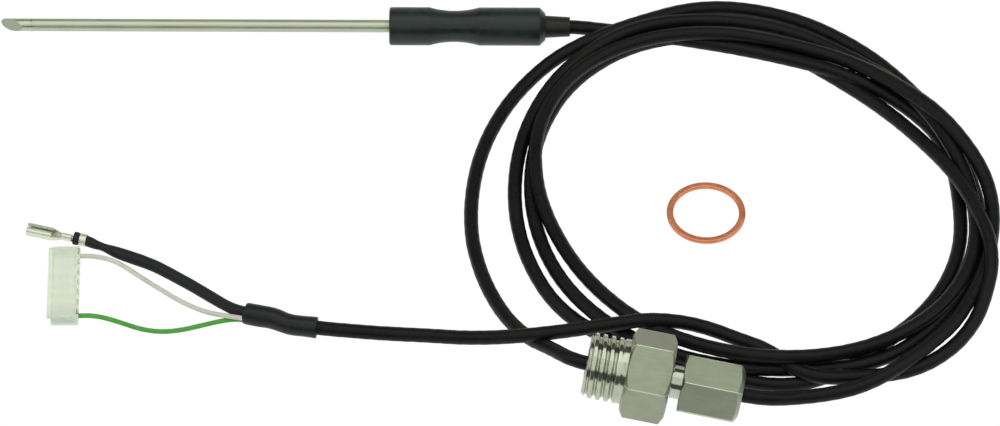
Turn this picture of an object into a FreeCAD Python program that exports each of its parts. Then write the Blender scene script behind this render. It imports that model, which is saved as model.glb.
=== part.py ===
import FreeCAD
import Part
import math
import os

# Oven core temperature probe: a pointed needle in a moulded handle, a coiled cable that
# runs through a screwed gland, the gland's loose copper washer, and a split tail with a
# blade receptacle and a row connector. Millimetres and degrees.
# X runs along the probe from its point to its cable, Z is up, and the origin lies on the
# floor under the middle of the probe.

V = FreeCAD.Vector

# Clearances
fit_gap = 0.05  # radial, between pieces that are moulded, crimped or pressed together
thread_gap = 0.15  # radial, between screwed pieces, drawn as plain cylinders
passage_gap = 0.5  # radial, between the cable and the nut that turns round it

# Needle: a tube closed by a welded point
needle_diameter = 4.0
needle_wall = 0.5
needle_reach = 122.0  # from the handle's front face to the point
needle_depth = 24.0  # length held in the handle
bevel_length = 6.6
bevel_roll = 22.0  # how far the bevel's face is rolled up from facing -Y
point_wall = 0.9  # metal left between the bevel and the junction's pocket
pocket_depth = 2.2  # from the pocket's end to the weld

# Thermocouple: a welded bead on two wires in a twin-bore insulator
wire_diameter = 0.5
wire_spacing = 1.1
bead_cover = 0.1  # metal of the bead outside its wires
insulator_gap = 0.1  # radial, in the needle
insulator_step_back = 0.6  # from the weld to the insulator's front

# Inside the handle
ferrule_wall = 0.7
ferrule_length = 6.0
splice_wall = 0.2
splice_length = 6.0
splice_lead = 2.0  # bare wire between the insulator and a splice

# Handle
handle_length = 49.0
handle_diameter = 12.0
handle_nose_length = 12.6
handle_nose_round = 0.8
waist_length = 15.6
waist_depth = 1.1
handle_tail_chamfer = 1.8

# Boot
boot_length = 7.7
boot_root_wall = 1.25
boot_end_wall = 0.8

# Cable
cable_diameter = 4.4
cable_lead_reach = 17.0  # how far the cable runs on from the boot into the coil
straight_at_nut = 6.5  # from the gland's ends to the first corner of the cable's route
straight_at_thread = 3.6
arc_share = 0.45  # part of the shorter run that an arc takes at a corner

# Coil: outline radii round its middle, from +X, anticlockwise
coil_x = 146.0
coil_y = -66.0
coil_outer_radii = [74.5, 66.0, 71.5, 79.5, 80.5, 76.5, 76.0, 76.5, 72.5, 75.0, 86.5, 84.0]
coil_inner_radii = [59.0, 52.0, 51.5, 55.5, 65.0, 68.0, 64.0, 63.0, 64.0, 60.0, 65.5, 64.0]
coil_height = 13.0
coil_round = 3.0

# Gland body, from its threaded end
gland_x = 93.9  # threaded end of the axis, seen from above
gland_y = -145.49
gland_turn = -8.36
gland_dip = 7.32  # how far the axis dips from the threaded end to the nut
thread_diameter = 20.0
thread_length = 12.2
thread_chamfer = 1.2
hex_shoulder = 2.0  # from the thread's outside to a flat
hex_length = 13.6
hex_bevel = 1.4  # length of the 30 degree corner chamfers at both ends
neck_step = 0.8  # how far the neck lies inside the nut's thread
neck_length = 5.1
spigot_wall = 1.85  # of the smaller thread, which the nut runs on
spigot_length = 11.0
mouth_flare = 2.25  # countersink where the cable leaves the threaded end
mouth_depth = 2.2

# Gland seal, thrust ring and nut
seal_wall = 1.75
seal_nose_wall = 0.5
seal_length = 4.4
ring_spigot_length = 1.5
ring_flange_step = 0.6  # how far the flange lies inside the nut's thread
ring_flange_length = 1.6
nut_gap = 3.45  # neck that shows between the hexagon and the nut
nut_wall = 2.45  # under a flat
nut_length = 18.25
nut_front_bevel = 0.65
nut_rear_bevel = 1.8  # where the cable enters
nut_roll = 7.2  # turn of the nut's top flat away from level

# Copper washer
washer_x = 131.2
washer_y = -72.2
washer_fit = 0.1  # radial, on the gland's thread
washer_width = 2.05
washer_thickness = 1.5
washer_round = 0.55

# Shrink tube over the split of the cable
shrink_x = 12.2  # where the cable enters, seen from above
shrink_y = -120.6
shrink_turn = 166.8
shrink_length = 22.2
shrink_wide_length = 11.8
shrink_wall = 0.95  # over the cable
shrink_diameter = 6.66  # over the leads
shrink_step = 1.2
cable_in_shrink = 9.0
lead_in_shrink = 7.0
lead_free = 1.0  # straight length of a cable or lead as it leaves a tube or housing

# Leads in the tail
sleeve_diameter = 3.8
sleeve_crimp_diameter = 3.2
sleeve_cone = 2.0
sleeve_straight = 5.0  # straight length of the sleeve behind the crimp
lead_diameter = 1.3
sleeve_back = 0.6  # places of the sleeve and the leads round the tube's axis
sleeve_rise = 0.45
white_front = 1.95
white_rise = 0.55
green_front = 0.35
green_drop = 1.95
strand_diameter = 1.2

# Blade receptacle, from its mating end
blade_x = -77.26
blade_y = -80.5
blade_turn = -14.85
sheet = 0.32
barrel_width = 3.8
barrel_height = 2.3
barrel_length = 8.0
barrel_roll = 0.9  # outside radius of the rolled sides
barrel_slot = 0.8
barrel_curl = 0.55  # depth that the rolled edges turn down
neck_down_length = 3.2
wire_crimp_length = 3.0
wire_crimp_height = 1.8
link_length = 0.8
link_width = 1.6
sleeve_nose = 2.0  # sleeve that shows in front of the sleeve crimp
sleeve_crimp_length = 2.0

# Row connector
ways = 7
pitch = 3.96
housing_x = -64.55
housing_y = -103.7
housing_turn = 1.15
housing_width = 8.5  # along the wires, without the lip
housing_skin = 1.0  # above and below the cavities
lip_reach = 1.1
lip_height = 1.75
lip_inset = 0.4
partition = 1.46  # between two cavities
wire_slot_depth = 0.75
window_margin = 0.5  # latch windows in the underside
window_length = 1.9
window_from_lip = 2.0
groove_width = 0.35
groove_depth = 0.25
contact_gap = 0.1
contact_wall = 0.3
contact_box_length = 4.4
contact_crimp_length = 2.4
contact_from_face = 0.6

# Places that follow from the sizes
probe_length = needle_reach + handle_length + boot_length
axis_height = handle_diameter / 2
probe_start = -probe_length / 2
handle_front = needle_reach
handle_rear = needle_reach + handle_length
boot_end = handle_rear + boot_length
needle_end = handle_front + needle_depth
wire_end = needle_end + splice_lead
cable_start = wire_end + splice_length
pocket_start = bevel_length + point_wall
weld = pocket_start + pocket_depth
needle_bore = needle_diameter / 2 - needle_wall
bead_radius = wire_spacing / 2 + wire_diameter / 2 + bead_cover
splice_radius = wire_diameter / 2 + splice_wall
cable_bore = cable_diameter / 2 + fit_gap
cable_passage = cable_diameter / 2 + passage_gap
seal_radius = cable_bore + seal_wall
seal_taper = seal_wall - seal_nose_wall
spigot_radius = seal_radius + fit_gap + spigot_wall
hex_across_flats = thread_diameter + 2 * hex_shoulder
nut_across_flats = 2 * (spigot_radius + thread_gap + nut_wall)
hex_corner = hex_across_flats / math.sqrt(3)
hex_start = thread_length
hex_end = hex_start + hex_length
dip = math.radians(gland_dip)
# a corner of the hexagon touches the floor
gland_height = (hex_end - hex_bevel) * math.sin(dip) + hex_corner * math.cos(dip)
spigot_start = hex_end + neck_length
spigot_end = spigot_start + spigot_length
nut_start = hex_end + nut_gap
nut_end = nut_start + nut_length
ring_start = spigot_end - ring_spigot_length + fit_gap
ring_flange_start = spigot_end + fit_gap
ring_end = ring_flange_start + ring_flange_length
seal_end = ring_start - fit_gap
seal_start = seal_end - seal_length
barrel_end = barrel_length
neck_down_end = barrel_end + neck_down_length
wire_crimp_end = neck_down_end + wire_crimp_length
sleeve_start = wire_crimp_end + link_length
sleeve_crimp_start = sleeve_start + sleeve_nose
sleeve_crimp_end = sleeve_crimp_start + sleeve_crimp_length
blade_height = sleeve_crimp_diameter / 2 + fit_gap + sheet
shrink_radius = shrink_diameter / 2
row_length = ways * pitch
cavity = pitch - partition
contact_box = cavity - 2 * contact_gap
housing_height = cavity + 2 * housing_skin
contact_start = -housing_width / 2 + contact_from_face
contact_crimp_start = contact_start + contact_box_length
contact_crimp_end = contact_crimp_start + contact_crimp_length


# A place above the floor, its X axis turned about the vertical and dipped
def lying(x, y, height, turn, dipped):
    turned_flat = FreeCAD.Rotation(V(0, 0, 1), turn)
    return FreeCAD.Placement(V(x, y, height), turned_flat.multiply(FreeCAD.Rotation(V(0, 1, 0), dipped)))


probe_place = lying(probe_start, 0, axis_height, 0, 0)
gland_place = lying(gland_x, gland_y, gland_height, gland_turn, gland_dip)
shrink_place = lying(shrink_x, shrink_y, shrink_radius, shrink_turn, 0)
blade_place = lying(blade_x, blade_y, blade_height, blade_turn, 0)
housing_place = lying(housing_x, housing_y, 0, housing_turn, 0)

# Routes of the cable and the leads where they are not coiled
gland_run_in = [
    V(198, -128, 6.0),
    V(188, -138, 6.0),
    V(176, -144.2, 5.8),
    V(162, -148.6, 6.6),
    gland_place.multVec(V(nut_end + straight_at_nut, 0, 0)),
]
gland_run_out = [
    gland_place.multVec(V(-straight_at_thread, 0, 0)),
    V(84.0, -136.8, 11.6),
    V(77.0, -127.6, 6.8),
    V(69.5, -114.2, 3.4),
    V(63.8, -100.0, 2.3),
    V(60.0, -82.0, 2.25),
    V(59.2, -63.0, 2.25),
    V(62.8, -45.0, 2.25),
    V(70.3, -28.0, 2.25),
    V(80.5, -14.6, 2.35),
    V(91.0, -7.6, 2.5),
    V(101.0, -3.4, 2.5),
]
tail_run = [
    V(112.0, -125.6, 10.8),
    V(98.5, -127.0, 12.2),
    V(85.0, -130.8, 14.4),
    V(72.0, -130.8, 13.0),
    V(59.0, -126.6, 6.8),
    V(45.5, -123.2, 2.8),
    V(32.0, -122.6, 2.3),
    V(21.5, -122.3, 2.8),
    shrink_place.multVec(V(-lead_free, 0, 0)),
    shrink_place.multVec(V(cable_in_shrink, 0, 0)),
]
sleeve_run = [
    shrink_place.multVec(V(shrink_length - lead_in_shrink, -sleeve_back, sleeve_rise)),
    shrink_place.multVec(V(shrink_length + lead_free, -sleeve_back, sleeve_rise)),
    V(-20.2, -107.8, 2.3),
    V(-30.9, -99.8, 1.97),
    V(-39.0, -94.6, 1.97),
    V(-46.5, -91.2, 1.97),
    blade_place.multVec(V(sleeve_crimp_end + sleeve_cone + sleeve_straight, 0, 0)),
    blade_place.multVec(V(sleeve_crimp_end + sleeve_cone, 0, 0)),
]
white_run = [
    V(-56.4, -91.7, 2.0),
    V(-51.2, -92.6, 1.55),
    V(-46.6, -95.2, 1.0),
    V(-41.4, -99.2, 0.7),
    V(-35.0, -104.3, 0.7),
    V(-28.6, -109.0, 0.7),
    V(-22.2, -112.9, 1.3),
    V(-15.8, -115.6, 2.7),
]
green_run = [
    V(-57.0, -115.2, 2.2),
    V(-52.8, -115.6, 1.8),
    V(-46.7, -117.3, 1.0),
    V(-40.6, -119.6, 0.7),
    V(-34.4, -120.4, 0.7),
    V(-28.2, -119.2, 0.7),
    V(-22.0, -117.1, 0.8),
    V(-16.3, -115.9, 1.1),
]


def rod(radius, start, end):
    return Part.makeCylinder(radius, end - start, V(start, 0, 0), V(1, 0, 0))


def offset_rod(radius, start, end, y, z):
    return Part.makeCylinder(radius, end - start, V(start, y, z), V(1, 0, 0))


def block(x0, x1, y0, y1, z0, z1):
    return Part.makeBox(x1 - x0, y1 - y0, z1 - z0, V(x0, y0, z0))


# The edges of a flat ring's two faces
def level_edges(ring):
    return [edge for edge in ring.Edges if edge.BoundBox.ZLength < ring.BoundBox.ZLength / 2]


# A solid turned about the X axis from (along, radius) corners
def turned(corners):
    points = [V(x, r, 0) for x, r in corners]
    outline = Part.makePolygon(points + points[:1])
    return Part.Face(outline).revolve(V(0, 0, 0), V(1, 0, 0), 360)


# A hexagonal bar along X whose first corner is turned by roll from pointing up
def hex_bar(across_flats, start, end, roll):
    corner = across_flats / math.sqrt(3)
    angles = [math.radians(roll + 60 * i) for i in range(6)]
    points = [V(start, corner * math.sin(a), corner * math.cos(a)) for a in angles]
    outline = Part.makePolygon(points + points[:1])
    return Part.Face(outline).extrude(V(end - start, 0, 0))


# The turned blank that gives a hexagonal bar its corner chamfers at 30 degrees
def hex_blank(across_flats, front_bevel, rear_bevel, start, end):
    corner = across_flats / math.sqrt(3)
    slope = math.tan(math.radians(30))
    return turned([
        (start, 0), (start, corner - front_bevel / slope), (start + front_bevel, corner),
        (end - rear_bevel, corner), (end, corner - rear_bevel / slope), (end, 0),
    ])


# Straight runs between points, joined by arcs as large as the shorter run allows
def cord_path(name, points):
    edges = []
    radii = []
    last = points[0]
    for before, corner, after in zip(points, points[1:], points[2:]):
        inward = (corner - before).normalize()
        outward = (after - corner).normalize()
        half_turn = inward.getAngle(outward) / 2
        reach = arc_share * min((corner - before).Length, (after - corner).Length)
        radius = reach / math.tan(half_turn)
        arc_start = corner - inward * reach
        arc_end = corner + outward * reach
        towards_centre = (outward - inward).normalize()
        arc_middle = corner + towards_centre * (radius / math.cos(half_turn) - radius)
        edges.append(Part.LineSegment(last, arc_start).toShape())
        edges.append(Part.Arc(arc_start, arc_middle, arc_end).toShape())
        radii.append(round(radius, 1))
        last = arc_end
    edges.append(Part.LineSegment(last, points[-1]).toShape())
    print(name, "radii", radii, "length", round(sum(edge.Length for edge in edges), 1))
    return Part.Wire(edges)


def cord(name, points, diameter):
    path = cord_path(name, points)
    along = (points[1] - points[0]).normalize()
    section = Part.Wire([Part.Circle(points[0], along, diameter / 2).toShape()])
    tube = path.makePipeShell([section], True, False)
    expected = math.pi * diameter ** 2 / 4 * path.Length
    print(name, "volume over section times length", round(tube.Volume / expected, 4))
    return tube


def needle_point():
    plug = rod(needle_diameter / 2, 0, weld)
    slope = math.atan2(needle_diameter, bevel_length)
    roll = math.radians(bevel_roll)
    facing = V(0, -math.cos(roll), math.sin(roll))
    normal = V(-math.sin(slope), 0, 0) + facing * math.cos(slope)
    cutter = Part.makeCylinder(needle_reach, needle_reach, V(bevel_length / 2, 0, 0), normal)
    pocket = rod(needle_bore, pocket_start, weld)
    return plug.cut(cutter).cut(pocket)


def needle_tube():
    outer = rod(needle_diameter / 2, weld, needle_end)
    return outer.cut(rod(needle_bore, weld, needle_end))


def thermocouple_wire(side):
    bead_middle = pocket_start + bead_radius
    return offset_rod(wire_diameter / 2, bead_middle, wire_end, 0, side * wire_spacing / 2)


def junction_bead():
    bead = Part.makeSphere(bead_radius, V(pocket_start + bead_radius, 0, 0))
    return bead.cut(thermocouple_wire(1)).cut(thermocouple_wire(-1))


def twin_bore_insulator():
    start = weld + insulator_step_back
    body = rod(needle_bore - insulator_gap, start, needle_end)
    bore = wire_diameter / 2 + fit_gap
    for side in (1, -1):
        body = body.cut(offset_rod(bore, start, needle_end, 0, side * wire_spacing / 2))
    return body


def earth_ferrule():
    bore = needle_diameter / 2 + fit_gap
    start = needle_end - ferrule_length
    return rod(bore + ferrule_wall, start, needle_end).cut(rod(bore, start, needle_end))


# Two crimped sleeves that join the thermocouple wires to the cable
def wire_splices():
    sleeves = []
    for side in (1, -1):
        z = side * wire_spacing / 2
        sleeve = offset_rod(splice_radius, needle_end + fit_gap, cable_start, 0, z)
        sleeves.append(sleeve.cut(thermocouple_wire(side)))
    return Part.makeCompound(sleeves)


def handle_bore():
    tube = needle_diameter / 2 + fit_gap
    chamber = tube + ferrule_wall + fit_gap
    ferrule_start = needle_end - ferrule_length - fit_gap
    return turned([
        (handle_front, 0), (handle_front, tube), (ferrule_start, tube), (ferrule_start, chamber),
        (cable_start, chamber), (cable_start, cable_bore), (handle_rear, cable_bore), (handle_rear, 0),
    ])


# Turned grip: rounded nose, finger waist and chamfered tail
def handle_grip():
    radius = handle_diameter / 2
    waist_start = handle_front + handle_nose_length
    waist_end = waist_start + waist_length
    nose_end = handle_front + handle_nose_round
    quarter = handle_nose_round * (1 - math.sqrt(0.5))
    corners = [
        V(handle_front, 0, 0), V(handle_front, radius - handle_nose_round, 0), V(nose_end, radius, 0),
        V(waist_start, radius, 0), V(waist_end, radius, 0),
        V(handle_rear - handle_tail_chamfer, radius, 0), V(handle_rear, radius - handle_tail_chamfer, 0),
        V(handle_rear, 0, 0),
    ]
    edges = [Part.LineSegment(a, b).toShape() for a, b in zip(corners, corners[1:] + corners[:1])]
    edges[1] = Part.Arc(corners[1], V(handle_front + quarter, radius - quarter, 0), corners[2]).toShape()
    waist_low = V((waist_start + waist_end) / 2, radius - waist_depth, 0)
    edges[3] = Part.Arc(corners[3], waist_low, corners[4]).toShape()
    grip = Part.Face(Part.Wire(edges)).revolve(V(0, 0, 0), V(1, 0, 0), 360)
    return grip.cut(handle_bore())


def boot():
    return turned([
        (handle_rear, cable_bore), (handle_rear, cable_bore + boot_root_wall),
        (boot_end, cable_bore + boot_end_wall), (boot_end, cable_bore),
    ])


def cable_lead():
    return rod(cable_diameter / 2, cable_start, boot_end + cable_lead_reach)


# The coil's own space: an oval ring with rounded edges
def cable_coil():
    def outline(radii):
        angles = [2 * math.pi * i / len(radii) for i in range(len(radii))]
        points = [
            V(coil_x + r * math.cos(a), coil_y + r * math.sin(a), 0) for r, a in zip(radii, angles)
        ]
        curve = Part.BSplineCurve()
        curve.interpolate(points, PeriodicFlag=True)
        return Part.Face(Part.Wire([curve.toShape()])).extrude(V(0, 0, coil_height))

    ring = outline(coil_outer_radii).cut(outline(coil_inner_radii))
    return ring.makeFillet(coil_round, level_edges(ring))


def gland_body():
    thread_radius = thread_diameter / 2
    neck = spigot_radius - neck_step
    blank = turned([
        (0, 0), (0, thread_radius - thread_chamfer), (thread_chamfer, thread_radius),
        (hex_start, thread_radius), (hex_start, neck), (spigot_start, neck),
        (spigot_start + neck_step, spigot_radius), (spigot_end, spigot_radius), (spigot_end, 0),
    ])
    hexagon = hex_bar(hex_across_flats, hex_start, hex_end, 0)
    hexagon = hexagon.common(hex_blank(hex_across_flats, hex_bevel, hex_bevel, hex_start, hex_end))
    seat = seal_radius + fit_gap
    seat_start = seal_start - fit_gap
    passage = turned([
        (0, 0), (0, cable_bore + mouth_flare), (mouth_depth, cable_bore), (seat_start, cable_bore),
        (seat_start, seat - seal_taper), (seat_start + seal_taper, seat), (spigot_end, seat), (spigot_end, 0),
    ])
    return blank.fuse(hexagon).cut(passage).removeSplitter()


def gland_seal():
    return turned([
        (seal_start, cable_bore), (seal_start, cable_bore + seal_nose_wall),
        (seal_start + seal_taper, seal_radius), (seal_end, seal_radius), (seal_end, cable_bore),
    ])


def thrust_ring():
    spigot = seal_radius - fit_gap
    flange = spigot_radius - ring_flange_step
    return turned([
        (ring_start, cable_passage), (ring_start, spigot), (ring_flange_start, spigot),
        (ring_flange_start, flange), (ring_end, flange), (ring_end, cable_passage),
    ])


def gland_nut():
    bar = hex_bar(nut_across_flats, nut_start, nut_end, 30 - nut_roll)
    bar = bar.common(hex_blank(nut_across_flats, nut_front_bevel, nut_rear_bevel, nut_start, nut_end))
    thread = spigot_radius + thread_gap
    shoulder = ring_end + fit_gap
    bore = turned([
        (nut_start, 0), (nut_start, thread), (shoulder, thread), (shoulder, cable_passage),
        (nut_end, cable_passage), (nut_end, 0),
    ])
    return bar.cut(bore)


def copper_washer():
    bore = thread_diameter / 2 + washer_fit
    blank = Part.makeCylinder(bore + washer_width, washer_thickness)
    ring = blank.cut(Part.makeCylinder(bore, washer_thickness))
    ring = ring.makeFillet(washer_round, level_edges(ring))
    ring.translate(V(washer_x, washer_y, 0))
    return ring


def shrink_tube(leads):
    slim = cable_bore + shrink_wall
    wide_start = shrink_length - shrink_wide_length
    tube = turned([
        (0, 0), (0, slim), (wide_start - shrink_step, slim), (wide_start, shrink_radius),
        (shrink_length, shrink_radius), (shrink_length, 0),
    ])
    tube = tube.cut(rod(cable_bore, 0, cable_in_shrink))
    tube.Placement = shrink_place
    for lead in leads:
        tube = tube.cut(lead)
    return tube


# Sleeve over the earth lead, squeezed to a smaller size at the crimp
def earth_sleeve():
    sleeve = cord("earth_sleeve", sleeve_run, sleeve_diameter)
    full = sleeve_diameter / 2
    squeezed = sleeve_crimp_diameter / 2
    nose = turned([
        (sleeve_start, 0), (sleeve_start, squeezed), (sleeve_crimp_end, squeezed),
        (sleeve_crimp_end + sleeve_cone, full), (sleeve_crimp_end + sleeve_cone, 0),
    ])
    nose.Placement = blade_place
    return sleeve.fuse(nose).removeSplitter()


def earth_strand():
    strand = rod(strand_diameter / 2, neck_down_end, sleeve_start)
    strand.Placement = blade_place
    return strand


# Section of the receptacle's rolled barrel: a flat floor, round sides and turned-in edges
def barrel_section(x):
    half = barrel_width / 2
    low = -barrel_height / 2
    top = barrel_height / 2
    slot = barrel_slot / 2
    inner = barrel_roll - sheet
    side = top - barrel_roll
    mid = math.sqrt(0.5)

    def flank(sign):
        def at(y, z):
            return V(x, sign * y, z)

        outside = Part.Arc(
            at(half, side),
            at(half - barrel_roll * (1 - mid), side + barrel_roll * mid),
            at(half - barrel_roll, top),
        )
        inside = Part.Arc(
            at(half - barrel_roll, top - sheet),
            at(half - barrel_roll + inner * mid, side + inner * mid),
            at(half - sheet, side),
        )
        edges = [
            Part.LineSegment(at(0, low), at(half, low)),
            Part.LineSegment(at(half, low), at(half, side)),
            outside,
            Part.LineSegment(at(half - barrel_roll, top), at(slot, top)),
            Part.LineSegment(at(slot, top), at(slot, top - barrel_curl)),
            Part.LineSegment(at(slot, top - barrel_curl), at(slot + sheet, top - barrel_curl)),
            Part.LineSegment(at(slot + sheet, top - barrel_curl), at(slot + sheet, top - sheet)),
            Part.LineSegment(at(slot + sheet, top - sheet), at(half - barrel_roll, top - sheet)),
            inside,
            Part.LineSegment(at(half - sheet, side), at(half - sheet, low + sheet)),
            Part.LineSegment(at(half - sheet, low + sheet), at(0, low + sheet)),
            Part.LineSegment(at(0, low + sheet), at(0, low)),
        ]
        return Part.Face(Part.Wire([edge.toShape() for edge in edges]))

    return [flank(1), flank(-1)]


# Open channel section used where the barrel narrows to the wire crimp
def channel_section(x, width, low, high):
    half = width / 2
    points = [
        V(x, -half, high), V(x, -half, low), V(x, half, low), V(x, half, high),
        V(x, half - sheet, high), V(x, half - sheet, low + sheet), V(x, -half + sheet, low + sheet),
        V(x, -half + sheet, high),
    ]
    return Part.makePolygon(points + points[:1])


# Folded from one strip: barrel, neck, wire crimp, link and sleeve crimp
def blade_receptacle():
    flanks = [face.extrude(V(barrel_length, 0, 0)) for face in barrel_section(0)]
    barrel = flanks[0].fuse(flanks[1])
    low = -barrel_height / 2
    strand = strand_diameter / 2 + fit_gap
    crimp = strand + sheet
    wide = channel_section(barrel_end, barrel_width, low, barrel_height / 2 - barrel_roll)
    narrow = channel_section(neck_down_end, 2 * crimp, -crimp, 0)
    neck = Part.makeLoft([wide, narrow], True, True)
    wire_crimp = rod(crimp, neck_down_end, wire_crimp_end)
    wire_crimp = wire_crimp.fuse(
        block(neck_down_end, wire_crimp_end, -crimp, crimp, -crimp, wire_crimp_height / 2 - crimp)
    )
    wire_crimp = wire_crimp.cut(rod(strand, neck_down_end, wire_crimp_end))
    squeezed = sleeve_crimp_diameter / 2 + fit_gap
    sleeve_crimp = rod(squeezed + sheet, sleeve_crimp_start, sleeve_crimp_end)
    sleeve_crimp = sleeve_crimp.cut(rod(squeezed, sleeve_crimp_start, sleeve_crimp_end))
    link_points = [
        V(wire_crimp_end, 0, -crimp), V(sleeve_start - sheet, 0, -squeezed - sheet),
        V(sleeve_crimp_end, 0, -squeezed - sheet), V(sleeve_crimp_end, 0, -squeezed),
        V(sleeve_start, 0, -squeezed), V(wire_crimp_end, 0, -crimp + sheet),
    ]
    link = Part.Face(Part.makePolygon(link_points + link_points[:1])).extrude(V(0, link_width, 0))
    link.translate(V(0, -link_width / 2, 0))
    link = link.cut(rod(squeezed, sleeve_start, sleeve_crimp_end))
    strip = barrel.fuse([neck, wire_crimp, link, sleeve_crimp]).removeSplitter()
    strip.Placement = blade_place
    return strip


def way_offset(way):
    return (ways - 1) / 2 * pitch - way * pitch


def connector_housing():
    half = row_length / 2
    face = -housing_width / 2
    back = housing_width / 2
    body = block(face, back, -half, half, 0, housing_height)
    lip_end = half - lip_inset
    lip = block(face - lip_reach, face, -lip_end, lip_end, housing_height - lip_height, housing_height)
    body = body.fuse(lip)
    middle = housing_height / 2
    for way in range(ways):
        y = way_offset(way)
        body = body.cut(block(
            face, back, y - cavity / 2, y + cavity / 2, middle - cavity / 2, middle + cavity / 2
        ))
        body = body.cut(block(
            back - wire_slot_depth, back, y - cavity / 2, y + cavity / 2, 0, housing_height
        ))
        window = face + window_from_lip
        half_window = cavity / 2 - window_margin
        body = body.cut(block(
            window, window + window_length, y - half_window, y + half_window, 0, middle
        ))
    for groove in (face + groove_width, back - wire_slot_depth - 2 * groove_width):
        body = body.cut(block(
            groove, groove + groove_width, -half, half, housing_height - groove_depth, housing_height
        ))
    body = body.removeSplitter()
    body.Placement = housing_place
    return body


def crimp_contact(way):
    y = way_offset(way)
    z = housing_height / 2
    half = contact_box / 2
    inner = half - contact_wall
    box_floor = contact_crimp_start - contact_wall
    box = block(contact_start, contact_crimp_start, y - half, y + half, z - half, z + half)
    box = box.cut(block(contact_start, box_floor, y - inner, y + inner, z - inner, z + inner))
    bore = lead_diameter / 2 + fit_gap
    crimp = offset_rod(bore + contact_wall, contact_crimp_start, contact_crimp_end, y, z)
    contact = box.fuse(crimp).cut(offset_rod(bore, contact_crimp_start, contact_crimp_end, y, z))
    contact.Placement = housing_place
    return contact


# A lead from its contact in the row connector to the shrink tube
def signal_lead(name, way, run, front, rise):
    y = way_offset(way)
    z = housing_height / 2
    inside = housing_place.multVec(V(contact_crimp_start + fit_gap, y, z))
    leaving = housing_place.multVec(V(housing_width / 2 + lead_free, y, z))
    entering = shrink_place.multVec(V(shrink_length + lead_free, front, rise))
    held = shrink_place.multVec(V(shrink_length - lead_in_shrink, front, rise))
    return cord(name, [inside, leaving] + run + [entering, held], lead_diameter)


def build():
    sleeve = earth_sleeve()
    white = signal_lead("white_lead", 0, white_run, white_front, white_rise)
    green = signal_lead("green_lead", ways - 1, green_run, green_front, -green_drop)
    parts = {
        "needle_point": needle_point(),
        "needle_tube": needle_tube(),
        "thermocouple_bead": junction_bead(),
        "thermocouple_wire_positive": thermocouple_wire(1),
        "thermocouple_wire_negative": thermocouple_wire(-1),
        "twin_bore_insulator": twin_bore_insulator(),
        "earth_ferrule": earth_ferrule(),
        "wire_splices": wire_splices(),
        "handle_grip": handle_grip(),
        "strain_relief_boot": boot(),
        "cable_lead": cable_lead(),
    }
    for piece in parts.values():
        piece.Placement = probe_place
    gland = {
        "gland_body": gland_body(),
        "gland_seal": gland_seal(),
        "gland_thrust_ring": thrust_ring(),
        "gland_nut": gland_nut(),
    }
    for piece in gland.values():
        piece.Placement = gland_place
    parts.update(gland)
    parts["copper_washer"] = copper_washer()
    parts["cable_coil"] = cable_coil()
    parts["cable_gland_run"] = cord("cable_gland_run", gland_run_in + gland_run_out, cable_diameter)
    parts["cable_tail"] = cord("cable_tail", tail_run, cable_diameter)
    parts["shrink_tube"] = shrink_tube([sleeve, white, green])
    parts["earth_sleeve"] = sleeve
    parts["white_lead"] = white
    parts["green_lead"] = green
    parts["earth_strand"] = earth_strand()
    parts["blade_receptacle"] = blade_receptacle()
    parts["connector_housing"] = connector_housing()
    parts["contact_white"] = crimp_contact(0)
    parts["contact_green"] = crimp_contact(ways - 1)
    return parts


os.makedirs("parts", exist_ok=True)
for node, shape in build().items():
    shape.exportStep(os.path.join("parts", node + ".step"))
    print(node, "solids", len(shape.Solids), "valid", shape.isValid(), "volume", round(shape.Volume, 2))
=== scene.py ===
import math

import bmesh
import bpy
from mathutils import Matrix, Vector


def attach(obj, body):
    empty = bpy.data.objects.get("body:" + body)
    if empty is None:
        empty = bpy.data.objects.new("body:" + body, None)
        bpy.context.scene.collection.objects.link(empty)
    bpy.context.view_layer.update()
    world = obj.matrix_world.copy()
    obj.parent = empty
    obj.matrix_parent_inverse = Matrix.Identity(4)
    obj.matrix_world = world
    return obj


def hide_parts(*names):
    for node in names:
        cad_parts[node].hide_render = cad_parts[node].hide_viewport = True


# Oven core temperature probe with its coiled cable, laid out on a white table. Metres.
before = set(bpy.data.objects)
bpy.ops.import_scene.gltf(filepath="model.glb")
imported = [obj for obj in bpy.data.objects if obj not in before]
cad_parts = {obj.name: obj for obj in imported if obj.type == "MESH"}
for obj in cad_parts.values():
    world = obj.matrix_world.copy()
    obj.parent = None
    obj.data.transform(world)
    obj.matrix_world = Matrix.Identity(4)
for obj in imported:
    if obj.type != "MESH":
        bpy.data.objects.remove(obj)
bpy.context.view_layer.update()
scene = bpy.context.scene
print("frame loaded:", len(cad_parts), "nodes")


# Small helpers for node trees

mixPlaces = {"FLOAT": (2, 3, 0), "RGBA": (6, 7, 2)}  # low, high and result among the sockets


def feed(tree, socket, value):
    # a socket takes a link from another socket, or a plain value
    if isinstance(value, bpy.types.NodeSocket):
        tree.links.new(value, socket)
    else:
        socket.default_value = value


def calc(tree, operation, a, b=0.0):
    node = tree.nodes.new("ShaderNodeMath")
    node.operation = operation
    feed(tree, node.inputs[0], a)
    feed(tree, node.inputs[1], b)
    return node.outputs[0]


def mix(tree, kind, share, low, high):
    node = tree.nodes.new("ShaderNodeMix")
    node.data_type = kind
    lowPlace, highPlace, resultPlace = mixPlaces[kind]
    feed(tree, node.inputs[0], share)
    feed(tree, node.inputs[lowPlace], low)
    feed(tree, node.inputs[highPlace], high)
    return node.outputs[resultPlace]


def ranged(tree, value, given=(0.0, 1.0), result=(0.0, 1.0), curve="LINEAR"):
    # moves a value from the given range into the result's range
    node = tree.nodes.new("ShaderNodeMapRange")
    node.interpolation_type = curve
    feed(tree, node.inputs["Value"], value)
    for socket, bound in zip(("From Min", "From Max", "To Min", "To Max"), given + result):
        node.inputs[socket].default_value = bound
    return node.outputs["Result"]


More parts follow.
